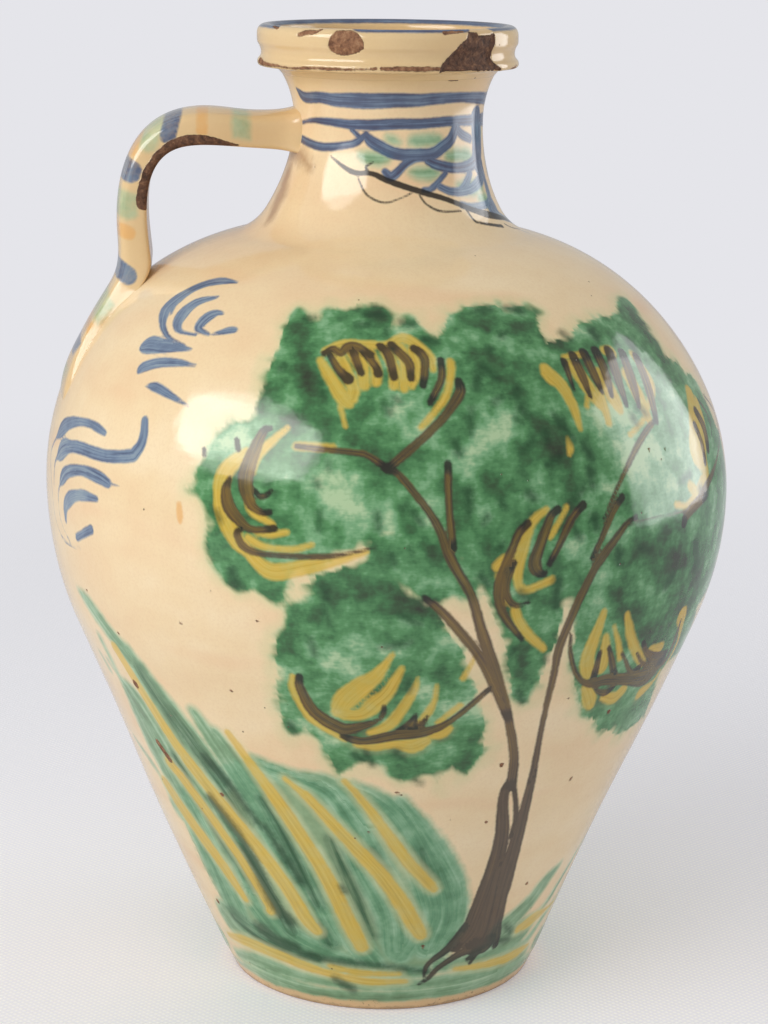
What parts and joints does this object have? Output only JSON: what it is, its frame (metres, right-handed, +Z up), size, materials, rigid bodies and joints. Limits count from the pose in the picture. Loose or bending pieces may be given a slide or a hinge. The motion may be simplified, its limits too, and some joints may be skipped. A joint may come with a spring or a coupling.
{
  "type": "water jar",
  "caption": "Thrown, glazed water jar with a full shoulder, waisted neck, banded mouth and one pulled strap handle.",
  "frame": {"origin": "middle of the foot's flat underside, on the jar's axis", "axes": "+Z up, out of the mouth; the handle points to -X and is turned 4 degrees towards -Y, the painted front"},
  "size_m": [0.284, 0.284, 0.3998],
  "materials": {
    "tin_glaze": "glossy opaque cream tin glaze",
    "bare_clay": "unglazed, matt, low-fired"
  },
  "bodies": {
    "root": {"foot_disc": "bare_clay", "lower_wall": "tin_glaze", "upper_wall": "tin_glaze", "neck": "tin_glaze", "collar": "tin_glaze", "handle_root_wad": "tin_glaze", "handle_strap": "tin_glaze", "handle_heel_wad": "tin_glaze"}
  },
  "joints": []
}
